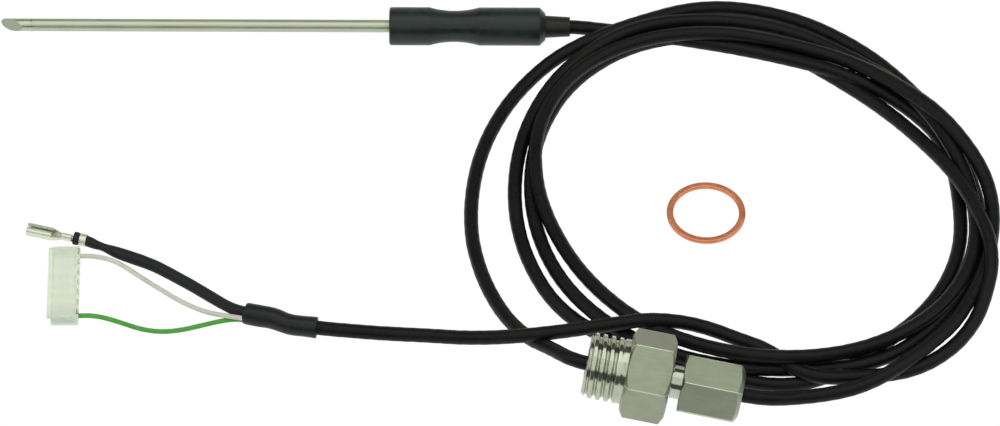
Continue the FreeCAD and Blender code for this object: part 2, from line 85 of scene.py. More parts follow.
def noise(tree, place, scale, detail=2.0):
    node = tree.nodes.new("ShaderNodeTexNoise")
    node.inputs["Detail"].default_value = detail
    feed(tree, node.inputs["Scale"], scale)
    feed(tree, node.inputs["Vector"], place)
    return node.outputs["Fac"]


def newMaterial(name):
    material = bpy.data.materials.new(name)
    material.use_nodes = True
    return material, material.node_tree, material.node_tree.nodes["Principled BSDF"]


# Camera, table and light

studio = {
    "eye": (0.074846, -1.47206, 1.639435),
    "target": (0.067759, -0.071868, 0.0),
    "lens": 252.0,
    "sensor": 36.0,
    "clipEnd": 20.0,
    "tableSize": 6.0,
    "tableWhite": 1.02,
    "tableGlow": (1.0, 0.40),  # under the object, and far out
    "glowReach": (0.26, 0.8),
    "skyColour": (1.0, 1.0, 1.0),
    "skyWhite": 1.0,
    "skyGlow": 0.10,
}
paperWhite = (1.0, 1.0, 0.97)
softBoxes = {
    "overheadBox": {
        "eye": (0.07, 0.32, 2.6), "target": (0.07, 0.32, 0.0),
        "size": (4.4, 1.84), "radiance": 1.38, "colour": paperWhite,
    },
    "ceilingBox": {
        "eye": (0.07, -2.4, 2.6), "target": (0.07, -2.4, 0.0),
        "size": (4.4, 3.6), "radiance": 0.95, "colour": paperWhite,
    },
    "backBox": {
        "eye": (0.07, 1.6, 0.5), "target": (0.07, -0.07, 0.1),
        "size": (3.6, 0.8), "radiance": 0.65, "colour": (1.0, 0.95, 0.86),
    },
    "leftBox": {
        "eye": (-1.3, -0.3, 0.8), "target": (0.05, -0.07, 0.0),
        "size": (1.0, 0.9), "radiance": 1.6, "colour": paperWhite,
    },
    "rightBox": {
        "eye": (1.45, -0.3, 0.8), "target": (0.05, -0.07, 0.0),
        "size": (1.0, 0.9), "radiance": 1.6, "colour": paperWhite,
    },
}


def aim(obj, eye, target):
    obj.location = eye
    obj.rotation_euler = (Vector(target) - Vector(eye)).to_track_quat("-Z", "Y").to_euler()


def setCamera():
    lens = bpy.data.cameras.new("photoCamera")
    lens.lens = studio["lens"]
    lens.sensor_width = studio["sensor"]
    lens.clip_end = studio["clipEnd"]
    camera = bpy.data.objects.new("photoCamera", lens)
    scene.collection.objects.link(camera)
    aim(camera, studio["eye"], studio["target"])
    scene.camera = camera


def softBox(name, box):
    width, depth = box["size"]
    light = bpy.data.lights.new(name, "AREA")
    light.shape = "RECTANGLE"
    light.size, light.size_y = width, depth
    light.energy = box["radiance"] * math.pi * width * depth
    light.color = box["colour"]
    lamp = bpy.data.objects.new(name, light)
    lamp.visible_camera = False
    scene.collection.objects.link(lamp)
    aim(lamp, box["eye"], box["target"])


def seenWhite(tree, white, glow):
    # what is seen straight on is white, what lights and mirrors is the studio's own glow
    ray = tree.nodes.new("ShaderNodeLightPath")
    return mix(tree, "FLOAT", ray.outputs["Is Camera Ray"], glow, white)


def setTable():
    # a white table that glows evenly under the object and fades far out
    half = studio["tableSize"] / 2
    corners = [(-half, -half, 0), (half, -half, 0), (half, half, 0), (-half, half, 0)]
    mesh = bpy.data.meshes.new("table")
    mesh.from_pydata(corners, [], [(0, 1, 2, 3)])
    table = bpy.data.objects.new("table", mesh)
    scene.collection.objects.link(table)
    material, tree, shader = newMaterial("tableWhite")
    shader.inputs["Base Color"].default_value = (0.0, 0.0, 0.0, 1)
    shader.inputs["Roughness"].default_value = 1.0
    shader.inputs["Specular IOR Level"].default_value = 0.0
    shader.inputs["Emission Color"].default_value = (1.0, 1.0, 1.0, 1)
    place = tree.nodes.new("ShaderNodeTexCoord")
    away = tree.nodes.new("ShaderNodeVectorMath")
    away.operation = "LENGTH"
    tree.links.new(place.outputs["Object"], away.inputs[0])
    fade = ranged(tree, away.outputs["Value"], given=studio["glowReach"], curve="SMOOTHSTEP")
    glow = ranged(tree, fade, result=studio["tableGlow"])
    strength = seenWhite(tree, studio["tableWhite"], glow)
    tree.links.new(strength, shader.inputs["Emission Strength"])
    mesh.materials.append(material)


def setLight():
    world = bpy.data.worlds.new("studio")
    world.use_nodes = True
    back = world.node_tree.nodes["Background"]
    back.inputs["Color"].default_value = (*studio["skyColour"], 1)
    strength = seenWhite(world.node_tree, studio["skyWhite"], studio["skyGlow"])
    world.node_tree.links.new(strength, back.inputs["Strength"])
    scene.world = world
    for name, box in softBoxes.items():
        softBox(name, box)


scene.view_settings.view_transform = "Standard"
setCamera()
setTable()
setLight()
print("camera, table and light set")


# Materials

grainRule = {
    "grainDetail": 5.0,
    "patchDetail": 2.0,
    "patchShare": 0.5,
    "spread": (0.34, 0.66),  # the noise between these runs from dark to light
    "bumpReach": 0.0001,
}


def grainFinish(name, look):
    # fine grain over broader patches, which shift the colour, the gloss and the surface
    material, tree, shader = newMaterial(name)
    if "attribute" in look:
        place = tree.nodes.new("ShaderNodeAttribute")
        place.attribute_name = look["attribute"]
        spot = place.outputs["Vector"]
    else:
        place = tree.nodes.new("ShaderNodeTexCoord")
        spot = place.outputs["Object"]
    stretch = tree.nodes.new("ShaderNodeMapping")
    stretch.inputs["Scale"].default_value = look.get("stretch", (1.0, 1.0, 1.0))
    tree.links.new(spot, stretch.inputs["Vector"])
    grain = noise(tree, stretch.outputs["Vector"], look["grain"], grainRule["grainDetail"])
    patch = noise(tree, spot, look["patch"], grainRule["patchDetail"])
    blend = mix(tree, "FLOAT", grainRule["patchShare"], grain, patch)
    spread = ranged(tree, blend, given=grainRule["spread"])
    colour = mix(tree, "RGBA", spread, (*look["dark"], 1), (*look["light"], 1))
    # the marked rounded edges take a lighter colour: a painted highlight
    if "paintedEdgeHighlight" in look:
        mark, highlightColour = look["paintedEdgeHighlight"]
        highlightMask = tree.nodes.new("ShaderNodeAttribute")
        highlightMask.attribute_name = mark
        colour = mix(tree, "RGBA", highlightMask.outputs["Fac"], colour, (*highlightColour, 1))
    tree.links.new(colour, shader.inputs["Base Color"])
    rough = ranged(tree, spread, result=look["rough"])
    tree.links.new(rough, shader.inputs["Roughness"])
    relief = tree.nodes.new("ShaderNodeBump")
    relief.inputs["Strength"].default_value = look["bump"]
    relief.inputs["Distance"].default_value = grainRule["bumpReach"]
    tree.links.new(grain, relief.inputs["Height"])
    tree.links.new(relief.outputs["Normal"], shader.inputs["Normal"])
    for socket, value in look.get("sockets", {}).items():
        shader.inputs[socket].default_value = value
    return material


metal = {"Metallic": 1.0}
dullBlack = {"Specular IOR Level": 0.3}
needleLook = {
    "dark": (0.46, 0.50, 0.38), "light": (0.55, 0.59, 0.46), "stretch": (0.05, 1.0, 1.0),
    "grain": 3000, "patch": 120, "rough": (0.36, 0.48), "bump": 0.03, "sockets": metal,
}
finish = {
    "cable": grainFinish("cableBlack", {
        "attribute": "skin", "dark": (0.0030, 0.0034, 0.0036), "light": (0.0075, 0.0082, 0.0076),
        "grain": 900, "patch": 70, "rough": (0.34, 0.50), "bump": 0.25,
        "sockets": {"Specular IOR Level": 0.16},
    }),
    "sleeve": grainFinish("sleeveBlack", {
        "attribute": "skin", "dark": (0.006, 0.0085, 0.0085), "light": (0.011, 0.0150, 0.0145),
        "grain": 1300, "patch": 150, "rough": (0.50, 0.66), "bump": 0.3, "sockets": dullBlack,
    }),
    "shrink": grainFinish("shrinkBlack", {
        "attribute": "skin", "dark": (0.005, 0.007, 0.0075), "light": (0.010, 0.013, 0.013),
        "grain": 700, "patch": 180, "rough": (0.36, 0.52), "bump": 0.3, "sockets": dullBlack,
    }),
    "grip": grainFinish("gripBlack", {
        "dark": (0.0060, 0.0110, 0.0105), "light": (0.015, 0.025, 0.0225),
        "grain": 420, "patch": 90, "rough": (0.27, 0.50), "bump": 0.35,
        "sockets": {"Specular IOR Level": 0.38},
    }),
    "boot": grainFinish("bootBlack", {
        "dark": (0.010, 0.0095, 0.008), "light": (0.021, 0.020, 0.0165),
        "grain": 700, "patch": 200, "rough": (0.42, 0.55), "bump": 0.3, "sockets": dullBlack,
    }),
    "whiteLead": grainFinish("whiteInsulation", {
        "attribute": "skin", "dark": (0.60, 0.61, 0.52), "light": (0.72, 0.73, 0.64),
        "grain": 800, "patch": 150, "rough": (0.36, 0.50), "bump": 0.1,
    }),
    "greenLead": grainFinish("greenInsulation", {
        "attribute": "skin", "dark": (0.055, 0.33, 0.030), "light": (0.085, 0.43, 0.050),
        "grain": 800, "patch": 150, "rough": (0.36, 0.50), "bump": 0.1,
    }),
    "needle": grainFinish("needleSteel", needleLook),
    "brushed": grainFinish("glandBrushed", {
        "attribute": "local", "dark": (0.275, 0.305, 0.215), "light": (0.350, 0.380, 0.285),
        "stretch": (0.10, 1.0, 1.0), "grain": 1800, "patch": 220, "rough": (0.34, 0.46),
        # the rounded hex edges are painted lighter: a painted highlight
        "bump": 0.05, "sockets": metal, "paintedEdgeHighlight": ("edge", (0.66, 0.70, 0.56)),
    }),
    "polished": grainFinish("glandPolished", {
        "attribute": "local", "dark": (0.38, 0.41, 0.32), "light": (0.54, 0.57, 0.46),
        "stretch": (1.0, 0.2, 0.2), "grain": 2500, "patch": 200, "rough": (0.10, 0.20),
        "bump": 0.03, "sockets": metal,
    }),
    "gland": grainFinish("ringSteel", {
        "dark": (0.34, 0.37, 0.28), "light": (0.44, 0.47, 0.37),
        "grain": 1500, "patch": 200, "rough": (0.22, 0.36), "bump": 0.05, "sockets": metal,
    }),
    "copper": grainFinish("washerCopper", {
        "dark": (0.68, 0.25, 0.120), "light": (0.84, 0.355, 0.195),
        "grain": 900, "patch": 160, "rough": (0.44, 0.54), "bump": 0.05, "sockets": metal,
    }),
    "tin": grainFinish("tinnedBrass", {
        "dark": (0.68, 0.72, 0.58), "light": (0.80, 0.84, 0.70),
        "grain": 1400, "patch": 300, "rough": (0.42, 0.56), "bump": 0.06, "sockets": metal,
    }),
    "strand": grainFinish("strandCopper", {
        "dark": (0.50, 0.36, 0.26), "light": (0.78, 0.70, 0.60), "stretch": (0.1, 1.0, 1.0),
        "grain": 2600, "patch": 400, "rough": (0.25, 0.40), "bump": 0.2, "sockets": metal,
    }),
    "ceramic": grainFinish("ceramicWhite", {
        "dark": (0.68, 0.66, 0.60), "light": (0.80, 0.78, 0.72),
        "grain": 900, "patch": 200, "rough": (0.55, 0.70), "bump": 0.1,
    }),
    "alloy": grainFinish("wireAlloy", {
        "dark": (0.46, 0.44, 0.40), "light": (0.58, 0.56, 0.52), "stretch": (0.1, 1.0, 1.0),
        "grain": 2500, "patch": 200, "rough": (0.28, 0.42), "bump": 0.05, "sockets": metal,
    }),
    "seal": grainFinish("sealRubber", {
        "dark": (0.04, 0.04, 0.04), "light": (0.07, 0.07, 0.07),
        "grain": 900, "patch": 200, "rough": (0.6, 0.75), "bump": 0.2,
    }),
}
bevel = {
    "facing": (-0.518, -0.793, 0.320),
    "match": (0.97, 0.99),  # how closely a face has to point that way
    "steelRough": (0.30, 0.42),
    "grey": (0.46, 0.49, 0.37),
    "rough": 0.55,
}


def bevelFinish():
    # polished like the needle, with the ground bevel left matt
    material = grainFinish("pointSteel", {**needleLook, "rough": bevel["steelRough"]})
    tree = material.node_tree
    shader = tree.nodes["Principled BSDF"]
    surface = tree.nodes.new("ShaderNodeNewGeometry")
    facing = tree.nodes.new("ShaderNodeVectorMath")
    facing.operation = "DOT_PRODUCT"
    facing.inputs[1].default_value = bevel["facing"]
    tree.links.new(surface.outputs["True Normal"], facing.inputs[0])
    ground = ranged(tree, facing.outputs["Value"], given=bevel["match"])
    steelRough = shader.inputs["Roughness"].links[0].from_socket
    rough = mix(tree, "FLOAT", ground, steelRough, bevel["rough"])
    tree.links.new(rough, shader.inputs["Roughness"])
    steel = shader.inputs["Base Color"].links[0].from_socket
    colour = mix(tree, "RGBA", ground, steel, (*bevel["grey"], 1))
    tree.links.new(colour, shader.inputs["Base Color"])
    return material


nylon = {
    "middle": (-0.06455, -0.1037, 0.0),
    "turn": 1.15,
    "pitch": 0.00396,
    "half": 0.01386,
    "warm": (0.84, 0.95, 0.735),
    # tint at the ends: painted shade of the contacts inside
    "shadedEndTint": (0.72, 0.87, 0.645),
    "endPower": 4.0,
    "band": 0.025,
    "cloud": 0.06,
    "cloudScale": 260.0,
    "sockets": {
        "Roughness": 0.45,
        "Specular IOR Level": 0.3,
        "Subsurface Weight": 0.6,
        "Subsurface Radius": (1.0, 1.0, 0.9),
        "Subsurface Scale": 0.004,
    },
}


def nylonFinish():
    # milky, with a faint band over each way and darker, cooler ends, a painted shade of the
    # contacts seen through the nylon
    material, tree, shader = newMaterial("milkyNylon")
    place = tree.nodes.new("ShaderNodeTexCoord")
    local = tree.nodes.new("ShaderNodeMapping")
    local.vector_type = "TEXTURE"
    local.inputs["Location"].default_value = nylon["middle"]
    local.inputs["Rotation"].default_value = (0.0, 0.0, math.radians(nylon["turn"]))
    tree.links.new(place.outputs["Object"], local.inputs["Vector"])
    split = tree.nodes.new("ShaderNodeSeparateXYZ")
    tree.links.new(local.outputs["Vector"], split.inputs["Vector"])
    row = split.outputs["Y"]
    wave = calc(tree, "COSINE", calc(tree, "MULTIPLY", row, 2 * math.pi / nylon["pitch"]))
    outward = calc(tree, "ABSOLUTE", calc(tree, "DIVIDE", row, nylon["half"]))
    # painted shade: the ends darken towards this tint where the contacts show through
    endShade = calc(tree, "POWER", outward, nylon["endPower"])
    tint = mix(tree, "RGBA", endShade, (*nylon["warm"], 1), (*nylon["shadedEndTint"], 1))
    cloud = noise(tree, local.outputs["Vector"], nylon["cloudScale"])
    bands = calc(tree, "MULTIPLY", wave, nylon["band"])
    clouds = calc(tree, "MULTIPLY", cloud, nylon["cloud"])
    shade = calc(tree, "ADD", calc(tree, "ADD", bands, clouds), 1.0)
    toned = tree.nodes.new("ShaderNodeVectorMath")
    toned.operation = "SCALE"
    tree.links.new(tint, toned.inputs[0])
    tree.links.new(shade, toned.inputs["Scale"])
    tree.links.new(toned.outputs["Vector"], shader.inputs["Base Color"])
    for socket, value in nylon["sockets"].items():
        shader.inputs[socket].default_value = value
    return material


finish["point"] = bevelFinish()
finish["nylon"] = nylonFinish()
nodeFinish = {
    "needle_point": "point",
    "needle_tube": "needle",
    "thermocouple_bead": "alloy",
    "thermocouple_wire_positive": "alloy",
    "thermocouple_wire_negative": "alloy",
    "twin_bore_insulator": "ceramic",
    "earth_ferrule": "tin",
    "wire_splices": "tin",
    "handle_grip": "grip",
    "strain_relief_boot": "boot",
    "gland_thrust_ring": "gland",
    "gland_seal": "seal",
    "copper_washer": "copper",
    "earth_strand": "strand",
    "blade_receptacle": "tin",
    "connector_housing": "nylon",
    "contact_white": "tin",
    "contact_green": "tin",
}
for node, kind in nodeFinish.items():
    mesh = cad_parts[node].data
    mesh.materials.clear()
    mesh.materials.append(finish[kind])
print("materials made:", len(finish))


# Cords

cordLine = {"resolution": 10, "order": 3}


def addInput(tree, name, kind, value):
    socket = tree.interface.new_socket(name=name, in_out="INPUT", socket_type=kind)
    if value is not None:
        socket.default_value = value
    return socket.identifier


def cordSkinTree():
    # a round skin along a line, with a slight helical ripple and lumps, and its own coordinates
    tree = bpy.data.node_groups.new("cordSkin", "GeometryNodeTree")
    inputs = {
        "line": addInput(tree, "Line", "NodeSocketGeometry", None),
        "diameter": addInput(tree, "Diameter", "NodeSocketFloat", 0.004),
        "spacing": addInput(tree, "Ring spacing", "NodeSocketFloat", 0.001),
        "sides": addInput(tree, "Sides", "NodeSocketInt", 20),
        "rippleDepth": addInput(tree, "Ripple depth", "NodeSocketFloat", 0.0),
        "ripplePitch": addInput(tree, "Ripple pitch", "NodeSocketFloat", 0.004),
        "lumpDepth": addInput(tree, "Lump depth", "NodeSocketFloat", 0.0),
        "lumpScale": addInput(tree, "Lump scale", "NodeSocketFloat", 200.0),
        "finish": addInput(tree, "Finish", "NodeSocketMaterial", None),
    }
    tree.interface.new_socket(name="Skin", in_out="OUTPUT", socket_type="NodeSocketGeometry")
    nodes = tree.nodes
    links = tree.links
    start = nodes.new("NodeGroupInput")
    end = nodes.new("NodeGroupOutput")

    def given(name):
        return next(socket for socket in start.outputs if socket.identifier == inputs[name])

    def store(name, kind, geometry, value):
        node = nodes.new("GeometryNodeStoreNamedAttribute")
        node.data_type = kind
        node.inputs["Name"].default_value = name
        links.new(geometry, node.inputs["Geometry"])
        links.new(value, node.inputs["Value"])
        return node.outputs["Geometry"]

    def stored(name, kind):
        node = nodes.new("GeometryNodeInputNamedAttribute")
        node.data_type = kind
        node.inputs["Name"].default_value = name
        return node.outputs["Attribute"]

    rings = nodes.new("GeometryNodeResampleCurve")
    rings.mode = "LENGTH"
    links.new(given("line"), rings.inputs["Curve"])
    links.new(given("spacing"), rings.inputs["Length"])
    runLength = nodes.new("GeometryNodeSplineParameter")
    line = store("along", "FLOAT", rings.outputs["Curve"], runLength.outputs["Length"])

    circle = nodes.new("GeometryNodeCurvePrimitiveCircle")
    links.new(given("sides"), circle.inputs["Resolution"])
    links.new(calc(tree, "MULTIPLY", given("diameter"), 0.5), circle.inputs["Radius"])
    place = nodes.new("GeometryNodeInputPosition")
    section = store("section", "FLOAT_VECTOR", circle.outputs["Curve"], place.outputs["Position"])

    tube = nodes.new("GeometryNodeCurveToMesh")
    thickness = nodes.new("GeometryNodeInputRadius")
    links.new(line, tube.inputs["Curve"])
    links.new(section, tube.inputs["Profile Curve"])
    links.new(thickness.outputs["Radius"], tube.inputs["Scale"])
    tube.inputs["Fill Caps"].default_value = True

    along = stored("along", "FLOAT")
    split = nodes.new("ShaderNodeSeparateXYZ")
    links.new(stored("section", "FLOAT_VECTOR"), split.inputs["Vector"])
    unrolled = nodes.new("ShaderNodeCombineXYZ")
    links.new(split.outputs["X"], unrolled.inputs["X"])
    links.new(split.outputs["Y"], unrolled.inputs["Y"])
    links.new(along, unrolled.inputs["Z"])
    skin = store("skin", "FLOAT_VECTOR", tube.outputs["Mesh"], unrolled.outputs["Vector"])

    turn = calc(tree, "ARCTAN2", split.outputs["Y"], split.outputs["X"])
    turns = calc(tree, "DIVIDE", along, given("ripplePitch"))
    phase = calc(tree, "MULTIPLY", turns, 2 * math.pi)
    wave = calc(tree, "SINE", calc(tree, "ADD", phase, turn))
    lump = calc(tree, "SUBTRACT", noise(tree, unrolled.outputs["Vector"], given("lumpScale")), 0.5)
    ripples = calc(tree, "MULTIPLY", wave, given("rippleDepth"))
    lumps = calc(tree, "MULTIPLY", lump, given("lumpDepth"))
    normal = nodes.new("GeometryNodeInputNormal")
    push = nodes.new("ShaderNodeVectorMath")
    push.operation = "SCALE"
    links.new(normal.outputs["Normal"], push.inputs["Vector"])
    links.new(calc(tree, "ADD", ripples, lumps), push.inputs["Scale"])
    moved = nodes.new("GeometryNodeSetPosition")
    links.new(skin, moved.inputs["Geometry"])
    links.new(push.outputs["Vector"], moved.inputs["Offset"])
    smooth = nodes.new("GeometryNodeSetShadeSmooth")
    links.new(moved.outputs["Geometry"], smooth.inputs["Geometry"])
    real = nodes.new("GeometryNodeRealizeInstances")
    links.new(smooth.outputs["Geometry"], real.inputs["Geometry"])
    coated = nodes.new("GeometryNodeSetMaterial")
    links.new(real.outputs["Geometry"], coated.inputs["Geometry"])
    links.new(given("finish"), coated.inputs["Material"])
    links.new(coated.outputs["Geometry"], end.inputs["Skin"])
    return tree, inputs


cordSkin, cordInputs = cordSkinTree()


def evaluatedMesh(obj):
    bpy.context.view_layer.update()
    depsgraph = bpy.context.evaluated_depsgraph_get()
    return bpy.data.meshes.new_from_object(
        obj.evaluated_get(depsgraph), preserve_all_data_layers=True, depsgraph=depsgraph
    )


def layCord(name, settings, material):
    # a smooth line along the run, with a width at each point where the cord has its own
    run = settings["run"]
    widths = settings.get("widths", [1.0] * len(run))
    line = bpy.data.curves.new(name + "Line", "CURVE")
    line.dimensions = "3D"
    line.resolution_u = cordLine["resolution"]
    spline = line.splines.new("NURBS")
    spline.points.add(len(run) - 1)
    for point, place, width in zip(spline.points, run, widths):
        point.co = (*place, 1.0)
        point.radius = width
    spline.order_u = cordLine["order"]
    spline.use_endpoint_u = True
    route = bpy.data.objects.new(name + "Line", line)
    scene.collection.objects.link(route)
    path = [tuple(vertex.co) for vertex in evaluatedMesh(route).vertices]
    modifier = route.modifiers.new("skin", "NODES")
    modifier.node_group = cordSkin
    for key, value in settings.items():
        if key in cordInputs:
            modifier[cordInputs[key]] = value
    modifier[cordInputs["finish"]] = material
    mesh = evaluatedMesh(route)
    mesh.name = name
    bpy.data.objects.remove(route)
    cord = bpy.data.objects.new(name, mesh)
    scene.collection.objects.link(cord)
    length = sum(math.dist(a, b) for a, b in zip(path, path[1:]))
    print("cord", name, "length", round(length, 4), "faces", len(mesh.polygons))
    return cord, path


cable = {
    "diameter": 0.0044,
    "length": 2.24,
    "exit": (0.08935, 0.0, 0.006),
    "coilMiddle": (0.146, -0.066),
    "clockStep": 20.0,
    "spacing": 0.0011,
    "sides": 24,
    "rippleDepth": 0.00003,
    "ripplePitch": 0.0042,
    "lumpDepth": 0.00012,
    "lumpScale": 260.0,
}
leadRun = [
    (0.0800, 0.0, 0.006),
    (0.0880, 0.0, 0.006),
    (0.0935, 0.0002, 0.0054),
    (0.0985, 0.0004, 0.0043),
    (0.1040, 0.0004, 0.0035),
]
# radius and height of the cable at each clock step, from the start angle on, clockwise
probeTurns = {
    "start": 120.0,
    "radii": [
        0.0755, 0.0616, 0.0554, 0.0545, 0.059, 0.063, 0.0624, 0.0662, 0.0690, 0.0706,
        0.0775, 0.0728, 0.0715, 0.0758, 0.0743, 0.0735, 0.0745, 0.0759, 0.0737, 0.0717,
        0.0684, 0.0633, 0.0615, 0.0615, 0.066, 0.0714, 0.0734, 0.0719, 0.0711, 0.0690,
        0.0671, 0.0635, 0.0630, 0.0665, 0.0707, 0.0725, 0.0693, 0.0636, 0.0597, 0.0592,
        0.059, 0.0634, 0.0723, 0.0758, 0.079,
    ],
    "heights": [
        0.0035, 0.003, 0.004, 0.0055, 0.003, 0.0025, 0.0025, 0.0025, 0.0025, 0.0025,
        0.0025, 0.0025, 0.0025, 0.0025, 0.0025, 0.0025, 0.0035, 0.005, 0.008, 0.004,
        0.0025, 0.0035, 0.0065, 0.009, 0.007, 0.0058, 0.0055, 0.006, 0.009, 0.010,
        0.0095, 0.0065, 0.0045, 0.0055, 0.006, 0.0065, 0.0065, 0.007, 0.006, 0.0065,
        0.010, 0.0125, 0.008, 0.0055, 0.005,
    ],
}
tailTurns = {
    "start": 120.0,
    "radii": [
        0.0751, 0.0785, 0.0741, 0.0685, 0.0645, 0.0635, 0.068, 0.073, 0.0745, 0.0763,
        0.0709, 0.0716, 0.0721, 0.0703, 0.0683, 0.0685, 0.0702, 0.0722, 0.0713, 0.0665,
        0.060, 0.0538, 0.0527, 0.0550, 0.0628, 0.0769,
    ],
    "heights": [
        0.007, 0.003, 0.0025, 0.0025, 0.0035, 0.006, 0.0035, 0.0025, 0.0025, 0.0025,
        0.0035, 0.006, 0.0068, 0.0055, 0.0025, 0.0025, 0.0025, 0.0025, 0.0025, 0.0025,
        0.0025, 0.0025, 0.0035, 0.006, 0.0095, 0.009,
    ],
}
glandRunIn = [
    (0.1980, -0.1280, 0.0054),
    (0.1905, -0.1355, 0.0059),
    (0.1825, -0.1416, 0.0059),
    (0.1746, -0.1457, 0.0058),
    (0.1661, -0.1479, 0.0056),
    (0.1568, -0.1497, 0.0062),
    (0.14689, -0.15328, 0.00997),
    (0.13315, -0.15126, 0.01176),
]
glandRunOut = [
    (0.10371, -0.14693, 0.01558),
    (0.0901, -0.1447, 0.01735),
    (0.0838, -0.1366, 0.0130),
    (0.0769, -0.1288, 0.0082),
    (0.0711, -0.1197, 0.0049),
    (0.0661, -0.1095, 0.0031),
    (0.0617, -0.0970, 0.0023),
    (0.0587, -0.0820, 0.00225),
    (0.0591, -0.0630, 0.00225),
    (0.0628, -0.0450, 0.00225),
    (0.0703, -0.0280, 0.00225),
    (0.0805, -0.0146, 0.0028),
    (0.0910, -0.0071, 0.0048),
]
tailRun = [
    (0.2145, -0.1130, 0.0040),
    (0.2084, -0.1232, 0.0025),
    (0.2010, -0.1306, 0.0023),
    (0.1928, -0.1356, 0.0023),
    (0.1836, -0.1379, 0.0026),
    (0.1747, -0.1396, 0.0040),
    (0.1660, -0.1415, 0.0056),
    (0.1577, -0.1394, 0.0060),
    (0.1490, -0.1308, 0.0060),
    (0.1400, -0.1273, 0.0066),
    (0.1312, -0.1243, 0.0082),
    (0.1220, -0.1235, 0.0105),
    (0.1120, -0.1246, 0.0126),
    (0.1021, -0.1257, 0.0116),
    (0.0929, -0.1281, 0.0124),
    (0.0836, -0.1303, 0.0129),
    (0.0744, -0.1311, 0.0124),
    (0.0647, -0.1288, 0.0086),
    (0.0552, -0.1259, 0.0052),
    (0.0456, -0.1233, 0.0030),
    (0.0350, -0.1222, 0.0023),
    (0.0240, -0.1213, 0.0024),
    (0.0132, -0.1208, 0.0032),
    (0.0044, -0.1194, 0.0032),
]


def coilTurns(turns):
    # the smooth line runs inside its points by the cosine of half a step
    reach = 1 / math.cos(math.radians(cable["clockStep"]) / 2)
    points = []
    for i, (radius, height) in enumerate(zip(turns["radii"], turns["heights"])):
        angle = math.radians(turns["start"] - i * cable["clockStep"])
        points.append((
            cable["coilMiddle"][0] + radius * reach * math.cos(angle),
            cable["coilMiddle"][1] + radius * reach * math.sin(angle),
            height,
        ))
    return points


def mainCable():
    run = leadRun + coilTurns(probeTurns) + glandRunIn
    run += glandRunOut + coilTurns(tailTurns) + tailRun
    cord, path = layCord("mainCable", {**cable, "run": run}, finish["cable"])
    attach(cord, "probe")
    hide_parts("cable_lead", "cable_coil", "cable_gland_run", "cable_tail")
    return cord, path


cableCord, cablePath = mainCable()

sleeve = {
    "diameter": 0.0038,
    "length": 0.068,
    "exit": (-0.0094, -0.1155, 0.00378),
    "spacing": 0.0006,
    "sides": 32,
    "lumpDepth": 0.00016,
    "lumpScale": 300.0,
    "run": [
        (-0.0030, -0.1169, 0.00378),
        (-0.0110, -0.1149, 0.00375),
        (-0.0147, -0.1126, 0.0033),
        (-0.0185, -0.1093, 0.0026),
        (-0.0222, -0.1061, 0.0021),
        (-0.0260, -0.1032, 0.00197),
        (-0.0298, -0.1006, 0.00197),
        (-0.0335, -0.0980, 0.00197),
        (-0.0373, -0.0956, 0.00197),
        (-0.0410, -0.0937, 0.00197),
        (-0.0447, -0.0921, 0.00197),
        (-0.0485, -0.0905, 0.00197),
        (-0.0510, -0.0893, 0.00197),
        (-0.0528, -0.0884, 0.00197),
        (-0.0544, -0.0876, 0.00197),
        (-0.0560, -0.0870, 0.00197),
        (-0.0578, -0.0860, 0.00197),
        (-0.0589, -0.08537, 0.00197),
        (-0.06083, -0.08486, 0.00197),
        (-0.06125, -0.08475, 0.00197),
        (-0.06190, -0.08457, 0.00197),
        (-0.06276, -0.08434, 0.00197),
    ],
    "widths": [
        0.96, 0.97, 0.92, 0.94, 0.96, 0.96, 0.97, 0.98, 0.99, 1.01, 1.02,
        0.98, 0.86, 0.68, 0.64, 0.76, 0.88, 0.84, 0.84, 1.0, 1.1, 1.06,
    ],
}
lead = {
    "diameter": 0.0015,
    "spacing": 0.0004,
    "sides": 16,
    "lumpDepth": 0.00008,
    "lumpScale": 400.0,
}
whiteLead = {
    "length": 0.0687,
    "exit": (-0.0095, -0.1175, 0.0039),
    "run": [
        (-0.0030, -0.1190, 0.00388),
        (-0.0106, -0.1174, 0.00388),
        (-0.0158, -0.1156, 0.0027),
        (-0.0222, -0.1129, 0.0013),
        (-0.0286, -0.1090, 0.0008),
        (-0.0350, -0.1043, 0.0008),
        (-0.0414, -0.0993, 0.0008),
        (-0.0466, -0.0951, 0.0010),
        (-0.0512, -0.0925, 0.00155),
        (-0.0564, -0.0916, 0.0020),
        (-0.05954, -0.09172, 0.00225),
        (-0.06399, -0.09181, 0.00225),
    ],
}
greenLead = {
    "length": 0.0623,
    "exit": (-0.0095, -0.1159, 0.0014),
    "run": [
        (-0.0030, -0.1174, 0.00138),
        (-0.0104, -0.1157, 0.00138),
        (-0.0163, -0.1162, 0.0011),
        (-0.0220, -0.1178, 0.0009),
        (-0.0282, -0.1197, 0.0008),
        (-0.0344, -0.1206, 0.0008),
        (-0.0406, -0.1197, 0.0008),
        (-0.0467, -0.1173, 0.0010),
        (-0.0528, -0.1156, 0.0018),
        (-0.0570, -0.1153, 0.0022),
        (-0.05906, -0.11547, 0.00225),
        (-0.06351, -0.11556, 0.00225),
    ],
}


def tailCords():
    cord, path = layCord("earthSleeve", sleeve, finish["sleeve"])
    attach(cord, "probe")
    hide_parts("earth_sleeve")
    leads = (
        ("whiteLead", whiteLead, "white_lead", "white_insulation",
         ["connector_housing", "contact_white"]),
        ("greenLead", greenLead, "green_lead", "green_insulation",
         ["contact_green"]),
    )
    for name, sizes, node, slot, pieces in leads:
        cord, path = layCord(name, {**lead, **sizes}, finish[name])
        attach(cord, "probe")
        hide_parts(node)


tailCords()
print("cords laid")


# Shrink tube

